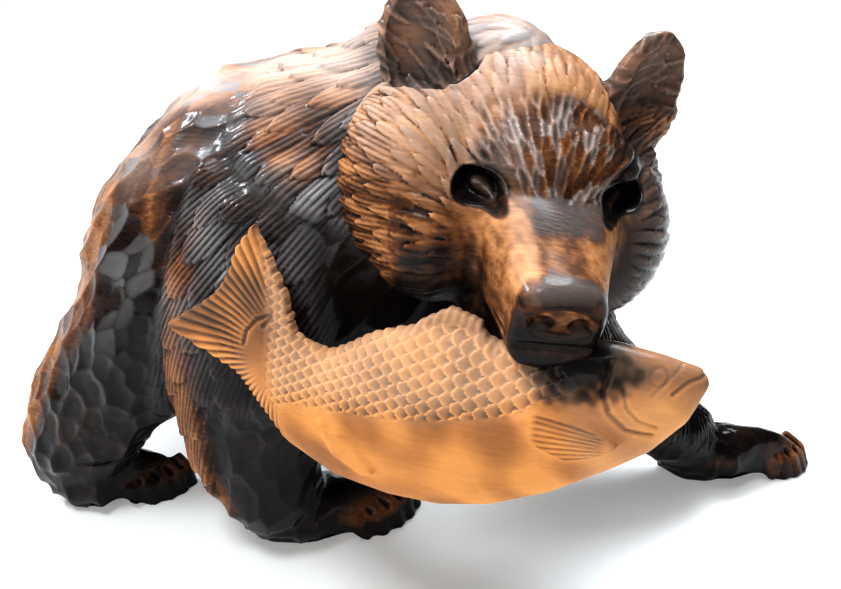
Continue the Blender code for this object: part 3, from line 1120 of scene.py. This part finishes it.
    def piece(self, detail: float) -> Piece:
        """The head with its cuts and its paint."""
        surface = Surface(self.shape(detail))
        at = surface.local(HEAD)
        facing = surface.turned_into(HEAD)
        face = self.face(at)
        out = away_from(surface.places, tuple(HEAD @ Vector(self.hair_root)))
        flow = dragged(surface, out + np.array((0.0, 0.0, -0.25)))
        zones = (
            (self.strokes, face.fine),
            (self.ruff, face.ruff),
            (self.brow, face.brow),
            (self.ear_cuts, face.ear),
        )
        height, luck = carve(surface, flow, zones)
        height *= 1.0 - 0.45 * face.fine * smoothstep(14, 28, at[:, 2])
        for side in (-1, 1):
            lip = [(along, side * across, up) for along, across, up in self.lip]
            height += groove(at, lip, 3.0, 1.2) * smoothstep(85, 80, at[:, 0])
        surface.press(height)
        self.stain_and_shade(surface, at, facing[:, 2], face, height, luck)
        return Piece("head", surface.obj, WoodFinish("head_wood", ash_and_sheen=self.cream))

    def face(self, at: Array) -> Face:
        """Where the ears, the sockets, the bare muzzle, the brow, the ruff and the rest lie."""
        x, y, z = at.T
        beside = np.abs(y)
        ear = np.zeros(len(at))
        for centre, radii, turn in self.ears:
            gap = (at - np.array(centre)) @ np.array(turned(*turn).to_3x3())
            far = np.linalg.norm(gap / (np.array(radii) + 2.0), axis=1)
            ear = np.maximum(ear, smoothstep(1.06, 0.98, far) * smoothstep(18, 26, z))
        socket = smoothstep(-0.06, 0.06, self.socket(at))
        brink = 29.0 + 17.0 * smoothstep(3, 9, z)
        bare = smoothstep(-4, 4, x - brink) * smoothstep(37, 29, beside)
        bare = np.maximum(bare, socket) * (1.0 - ear)
        brow = smoothstep(29, 24, beside) * smoothstep(6, 12, z) * smoothstep(14, 20, x)
        brow *= (1.0 - ear) * (1.0 - bare)
        ruff = smoothstep(42, 54, -y - 0.35 * x - 0.25 * z + 8) + smoothstep(36, 44, y - 0.3 * x)
        ruff = np.clip(ruff, 0, 1) * (1.0 - ear) * (1.0 - bare)
        fine = (1.0 - ear) * (1.0 - bare) * (1.0 - brow) * (1.0 - ruff)
        return Face(ear, socket, bare, brow, ruff, fine)

    def stain_and_shade(
        self, surface: Surface, at: Array, up: Array, face: Face, height: Array, luck: Array
    ) -> None:
        """Paints the pale crown and ruff, the dark brow, nose and sockets, the bare muzzle, and
        painted highlights and sheen on the muzzle, brow, nose, eyes and left ear.

        Args:
            surface: the carved head.
            at: where each place was drawn.
            up: how far each place faced upwards before it was cut.
            face: the zones.
            height: how high the cuts left each place, in millimetres.
            luck: a chance for each cut.
        """
        x, y, z = at.T
        ear, socket, bare = face.ear, face.socket, face.bare
        pad = smoothstep(79.5, 82.5, x + 0.2 * z) * smoothstep(-24, -18, z)
        mouth = smoothstep(56, 68, x) * smoothstep(-20, -27, z)
        # A band along the muzzle's upper edge painted paler and pinker: a painted highlight.
        top = smoothstep(5.0, 2.5, np.abs(y + 12.0)) * smoothstep(38, 46, x) * bare
        top *= smoothstep(-4, 2, z)
        ridge = smoothstep(9, 6, np.abs(y)) * smoothstep(-4, 2, z) * bare
        wide = 13.0 + 19.0 * smoothstep(8, 12, z)
        patch = smoothstep(1.1, 0.85, np.hypot((y - 3) / wide, np.clip(z - 10, 0, 99) / 25.0))
        patch *= smoothstep(3, 6, z) * smoothstep(12, 18, x) * smoothstep(66, 58, x)
        left = smoothstep(18, 34, y) * smoothstep(30, 4, z)
        low = smoothstep(-2, -14, z) * smoothstep(52, 43, -y) * (1.0 - 0.6 * bare)
        side = smoothstep(20, -6, z) * smoothstep(16, 34, -y)
        # The eyeballs painted a paler brown: a painted highlight.
        ball = smoothstep(1.0, 0.6, off_oval(np.abs(y), z, self.eyeball)) * socket
        front = smoothstep(80, 84, x) * smoothstep(1.05, 0.8, off_oval(y, z, self.nose_front))
        stain_and_shade = 0.23 + 0.06 * bare - 0.14 * top + 0.14 * ridge + 0.44 * patch * (1.0 - ear)
        stain_and_shade += 0.45 * left + 0.48 * low + 0.32 * ear
        stain_and_shade += (0.2 + 0.1 * waver(at, 9, 3)) * side * (1.0 - bare)
        stain_and_shade += 0.5 * socket - 0.26 * ball + 0.46 * pad - 0.32 * front + 0.6 * mouth
        stain_and_shade += 0.08 * waver(at, 18, 8) + 0.12 * waver(at, 2.6, 5) * bare
        ash_and_sheen = 0.8 * smoothstep(0, 20, -y) * smoothstep(0, 20, z) + 0.35 * top * (1.0 - pad)
        ash_and_sheen += 0.3 * smoothstep(26, 40, z) + 0.3 * left
        ash_and_sheen *= (1.0 - 0.6 * ear) * (1.0 - socket) * (1.0 - pad) * (1.0 - 0.5 * patch)
        # Painted highlights on the brow patch's strokes.
        ash_and_sheen += 0.9 * patch * smoothstep(24, 14, np.abs(y - 2)) * smoothstep(0.35, 0.7, luck)
        # Painted highlight on the nose's upward faces, painted sheen on the left ear.
        ash_and_sheen += 0.45 * pad * smoothstep(0.3, 0.8, up) + 0.3 * ear * (y > 0)
        relief = surface.ridges(height, 10, 0.9)
        ash_and_sheen *= smoothstep(0.2, 0.8, relief)
        surface.paint(stain_and_shade=stain_and_shade, ash_and_sheen=ash_and_sheen, relief=relief, chance=luck)


@dataclass(frozen=True)
class Skin:
    """Masks of the salmon's zones, how far each place is over the belly's edge, and its scales."""

    tail: Array
    headed: Array
    scaled: Array
    fin: Array
    pectoral: Array
    above: Array
    shingle: Array


@dataclass
class Salmon:
    """The salmon in its own plane, its head towards +X and its back towards +Z."""

    voxel: float = 0.6
    finish: WoodFinish = WoodFinish(
        "salmon_wood",
        tones=(
            (0.00, (0.74, 0.34, 0.105)),
            (0.28, (0.45, 0.185, 0.055)),
            (0.55, (0.17, 0.068, 0.028)),
            (0.78, (0.036, 0.019, 0.013)),
            (1.00, (0.008, 0.006, 0.006)),
        ),
        ash_and_sheen=(0.68, 0.46, 0.31),
        grain=0.14,
        painted_shade=0.35,
    )
    spine: tuple[Section, ...] = (
        ((97, 0, 13), 2.5, 3),
        ((88, 0, 7), 8, 12),
        ((76, 0, 1), 11, 19.5),
        ((62, 0, -5), 13, 24),
        ((44, 0, -14), 14, 28),
        ((26, 0, -19), 15, 33),
        ((8, 0, -22), 15, 35),
        ((-10, 0, -26), 14, 32),
        ((-26, 0, -28), 12.5, 27),
        ((-40, 0, -25), 10.5, 22),
        ((-50, 0, -18), 8.5, 18),
        ((-60, 0, -10), 6, 16),
        ((-72, 0, 0), 3, 17),
    )
    tail: Outline = (
        (-45, -4), (-49, 12), (-62, 39), (-70, 28), (-73, 18),
        (-79, 9), (-91, 0), (-102, -8), (-75, -19), (-62, -24),
    )
    tail_block: Outline = (
        (-60, 6), (-64, 22), (-74, 10), (-88, -4), (-76, -14), (-62, -14),
    )
    dorsal: Outline = ((-4, 0), (2, 14), (13, 21), (24, 18), (30, 4))
    pectoral: Outline = (
        (40, -8), (47, -5), (59, -5), (70, -8), (75, -11), (69, -16), (59, -20), (50, -17),
    )
    pelvic: Outline = ((-30, -27), (-18, -31), (-7, -43), (-12, -45), (-24, -39))
    back_edge: Outline = ((-6, 2), (2, 8), (14, 12), (26, 10), (34, 2))
    belly_edge: Outline = (
        (-60, -33), (-44, -24), (-25, -22), (2, -18), (19, -14), (36, -9), (43, -5), (50, 1), (60, 3),
    )
    gill: Outline = ((68, 14), (67, 6), (70, -1), (76, -6), (84, -7))
    inner_gill: Outline = ((73, 8), (75, 2), (79, -2), (85, -4))
    mouth: Outline = ((99, 15), (92, 12), (88, 8))
    cheek: Outline = ((82, 7), (85, 11), (89, 16))
    eye: tuple[float, float] = (83.0, 12.5)
    crescent: Outline = ((-65, -7), (-64, -2), (-60, 3), (-54, 5.5), (-57, 1))
    tail_root: tuple[float, float] = (-46.0, -8.0)
    pectoral_root: tuple[float, float] = (89.0, -9.8)
    # Where the painted shade under the bear's jaw lies on the salmon.
    jaw_shade: Oval = ((58.0, 12.0), (17.0, 12.0))
    bite: tuple[Place, Place] = ((78, 4, -36), (9, 14, 7))

    def shape(self, detail: float) -> bpy.types.Object:
        """The uncarved salmon as one skin."""
        mass = Mass()
        mass.limb(FISH, self.spine)
        for outline, near, far in (
            (self.tail, -3, 3),
            (self.tail_block, 0, 16),
            (self.dorsal, -2.5, 2.5),
            (self.pectoral, -15.5, 0),
            (self.pelvic, -14.5, 0),
        ):
            mass.plate(FISH, outline, near, far)
        coarse = fused(mass.made("fish"), 1.2, 3)
        return fused(coarse, self.voxel * detail, 2)

    def scales(self, along: Array, up: Array) -> Array:
        """Rows of scales with their free edges to the tail, 0 behind an edge and 1 on it."""
        least, growth = 2.9, 0.014
        size = np.maximum(least + growth * (along + 60.0), 2.0)
        u = -np.log(size / least) / growth
        v = up / (1.2 * size)
        best = np.zeros(len(along))
        found = np.full(len(along), 1e9)
        base = np.floor(u)
        for step in range(-2, 3):
            row = base + step
            shift = 0.5 * (row % 2)
            for beside in (-1, 0, 1):
                middle = np.floor(v - shift + 0.5) + beside + shift
                dv = (v - middle) / 0.56
                edge = row + 1.0 * np.sqrt(np.clip(1.0 - dv**2, 0.0, 1.0))
                covers = (np.abs(dv) < 1.0) & (u < edge) & (row < found)
                found = np.where(covers, row, found)
                best = np.where(covers, 1.0 - np.clip((edge - u) / 1.1, 0.0, 1.0), best)
        return best

    def piece(self, detail: float) -> Piece:
        """The salmon with its scales, fins and gills cut and its paint."""
        surface = Surface(self.shape(detail))
        at = surface.local(FISH)
        skin = self.skin(at)
        height = self.cuts(at, skin)
        surface.press(height)
        self.stain_and_shade(surface, at, skin, height)
        return Piece("salmon", surface.obj, self.finish)

    def skin(self, at: Array) -> Skin:
        """Where the tail, the head, the scales and the fins lie."""
        along, aside, up = at.T
        above = up - np.interp(along, *np.array(self.belly_edge).T)
        tail = smoothstep(-50, -58, along + 0.12 * up)
        headed = smoothstep(50, 62, along + 0.3 * up)
        fin = smoothstep(2.0, 4.5, up - np.interp(along, *np.array(self.back_edge).T))
        fin *= smoothstep(-7, -3, along) * smoothstep(34, 30, along)
        scaled = smoothstep(-1.0, 0.6, above) * (1.0 - tail) * (1.0 - headed) * (1.0 - fin)
        pectoral = smoothstep(46, 49, along) * smoothstep(72, 68, along)
        pectoral *= smoothstep(-14.4, -15.2, aside)
        return Skin(tail, headed, scaled, fin, pectoral, above, self.scales(along, up))

    def cuts(self, at: Array, skin: Skin) -> Array:
        """How high the scales, rays, gills, mouth and eye leave each place, in millimetres."""
        along, aside, up = at.T
        height = 1.15 * (skin.shingle - 0.5) * skin.scaled
        (tail_x, tail_z), (fan_x, fan_z) = self.tail_root, self.pectoral_root
        spread = smoothstep(15, 26, np.hypot(along - tail_x, up - tail_z))
        for depth, phase, zone in (
            (1.1, np.degrees(np.arctan2(up - tail_z, tail_x - along)) / 5.5, skin.tail * spread),
            (0.5, (along - 0.25 * up) / 3.0, skin.fin),
            (0.6, np.degrees(np.arctan2(up - fan_z, fan_x - along)) / 3.2, skin.pectoral),
        ):
            height -= depth * furrows(phase, 1.5) * zone
        for path, width, depth in (
            (self.gill, 2.6, 1.0),
            (self.inner_gill, 2.0, 0.6),
            (self.cheek, 1.6, 0.3),
            (self.mouth, 2.0, 0.8),
            (self.crescent, 2.6, 1.1),
        ):
            height += groove(at[:, (0, 2)], path, width, depth) * np.where(aside < 0, 1.0, 0.6)
        ring = np.hypot(along - self.eye[0], up - self.eye[1])
        return height - 0.3 * np.clip(1.0 - np.abs(ring - 2.6) / 0.9, 0.0, 1.0)

    def stain_and_shade(self, surface: Surface, at: Array, skin: Skin, height: Array) -> None:
        """Paints the bare wood, the greyed back, painted shade under the bear's jaw and on the side
        towards the bear, and painted shadows at the scales' edges.

        Args:
            surface: the carved salmon.
            at: where each place was drawn.
            skin: the zones.
            height: how high the cuts left each place, in millimetres.
        """
        along, aside, up = at.T
        # Painted shade: the salmon darkens under the bear's jaw.
        jaw, reach = np.array(self.bite)
        bitten = np.linalg.norm((surface.local(HEAD) - jaw) / reach, axis=1)
        jaw_shade = off_oval(along, up, self.jaw_shade) + 0.15 * waver(at, 7, 3) + 0.1 * waver(at, 2.4, 8)
        dark = np.maximum(smoothstep(1.3, 0.8, bitten), smoothstep(1.3, 0.55, jaw_shade))
        back = smoothstep(-6, 10, skin.above)
        # Painted shade on the salmon's side that faces the bear.
        hidden = smoothstep(2, 10, aside) * smoothstep(-1, 1, surface.normals[:, 1])
        stain_and_shade = 0.13 + 0.05 * back + 0.22 * skin.tail + 0.75 * dark + 0.3 * hidden
        stain_and_shade += 0.2 * (waver(at, 16, 2) + skin.pectoral + skin.fin)
        # Painted shadow just beyond each scale's free edge.
        stain_and_shade += 0.16 * smoothstep(0.55, 0.0, skin.shingle) * skin.scaled
        stain_and_shade += skin.headed * (0.06 + 0.22 * smoothstep(6, 14, up))
        ash_and_sheen = 0.5 * back * (1.0 - skin.headed) * (1.0 - 0.85 * skin.tail)
        ash_and_sheen = (ash_and_sheen + 0.04 + 0.2 * skin.headed) * (1.0 - dark)
        relief = surface.ridges(height, 8, 1.0)
        surface.paint(stain_and_shade=stain_and_shade, ash_and_sheen=ash_and_sheen, relief=relief, chance=np.full(len(at), 0.5))


@dataclass
class Studio:
    """A white table top, a bright room and one large window, seen from the bear's front right."""

    eye: Place = (159.04, -253.25, 307.0)
    azimuth: float = 18.0
    elevation: float = 30.0
    sensor: float = 36.0
    focus: float = 850.0
    picture_width: float = 841.0
    gamma: float = 0.8
    exposure: float = 0.2
    daylight: tuple[float, float, float] = (0.84, 0.92, 1.0)

    def build(self) -> None:
        """Lays the ground, lights it and places the camera."""
        self.ground()
        self.light()
        self.camera()
        view = bpy.context.scene.view_settings
        view.view_transform = "Standard"
        view.look = "None"
        view.gamma = self.gamma
        view.exposure = self.exposure

    def ground(self) -> None:
        """A white sheet far larger than the picture."""
        mesh = bpy.data.meshes.new("ground")
        corners = [(-4, -4, 0), (4, -4, 0), (4, 4, 0), (-4, 4, 0)]
        mesh.from_pydata(corners, [], [(0, 1, 2, 3)])
        ground = linked(bpy.data.objects.new("ground", mesh))
        white = bpy.data.materials.new("white_paper")
        white.use_nodes = True
        shader = white.node_tree.nodes["Principled BSDF"]
        for name, value in (
            ("Base Color", (0.86, 0.87, 0.86, 1.0)),
            ("Roughness", 0.9),
            ("Specular IOR Level", 0.1),
            ("Emission Color", (1.0, 1.0, 1.0, 1.0)),
            ("Emission Strength", 0.25),
        ):
            shader.inputs[name].default_value = value
        mesh.materials.append(white)

    def light(self) -> None:
        """A bright white room and a window above the bear's right."""
        world = bpy.data.worlds.new("room")
        world.use_nodes = True
        back = world.node_tree.nodes["Background"]
        back.inputs["Color"].default_value = (0.93, 0.96, 1.0, 1.0)
        back.inputs["Strength"].default_value = 0.12
        bpy.context.scene.world = world
        sun = bpy.data.lights.new("sky", "SUN")
        sun.energy = 1.7
        sun.angle = math.radians(50)
        sky = linked(bpy.data.objects.new("sky", sun))
        sky.rotation_euler = (math.radians(-8), math.radians(-20), 0)
        lamps = (
            ("window", (-0.22, -0.30, 0.95), 0.24, 4.5, (0.90, 0.95, 1.0)),
            ("back_window", (0.05, 0.62, 0.95), 0.45, 13.0, self.daylight),
            ("side_window", (-0.90, 0.10, 0.75), 0.16, 6.0, self.daylight),
            ("lamp", (-0.25, -0.95, 0.55), 0.5, 2.5, (1.0, 0.96, 0.9)),
        )
        for name, place, size, power, colour in lamps:
            data = bpy.data.lights.new(name, "AREA")
            data.shape = "SQUARE"
            data.size = size
            data.energy = power
            data.color = colour
            lamp = linked(bpy.data.objects.new(name, data))
            lamp.location = place
            aim = Vector((0, 0, 0.1)) - Vector(place)
            lamp.rotation_euler = aim.to_track_quat("-Z", "Y").to_euler()

    def camera(self) -> None:
        """The picture's own view."""
        data = bpy.data.cameras.new("view")
        data.sensor_width = self.sensor
        data.lens = self.sensor * self.focus / self.picture_width
        data.clip_start = 0.01
        data.clip_end = 20.0
        eye = linked(bpy.data.objects.new("view", data))
        eye.location = spot(*self.eye)
        tilt = math.radians(90.0 - self.elevation)
        eye.rotation_euler = (tilt, 0.0, math.radians(self.azimuth))
        bpy.context.scene.camera = eye


def main() -> None:
    """Builds the carving and the studio, and notes the sizes."""
    logging.basicConfig(level=logging.INFO, format="%(name)s: %(message)s")
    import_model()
    detail = 1.0
    for piece in (*Body().pieces(detail), Head().piece(detail), Salmon().piece(detail)):
        piece.place()
    Studio().build()


if __name__ == "__main__":
    main()
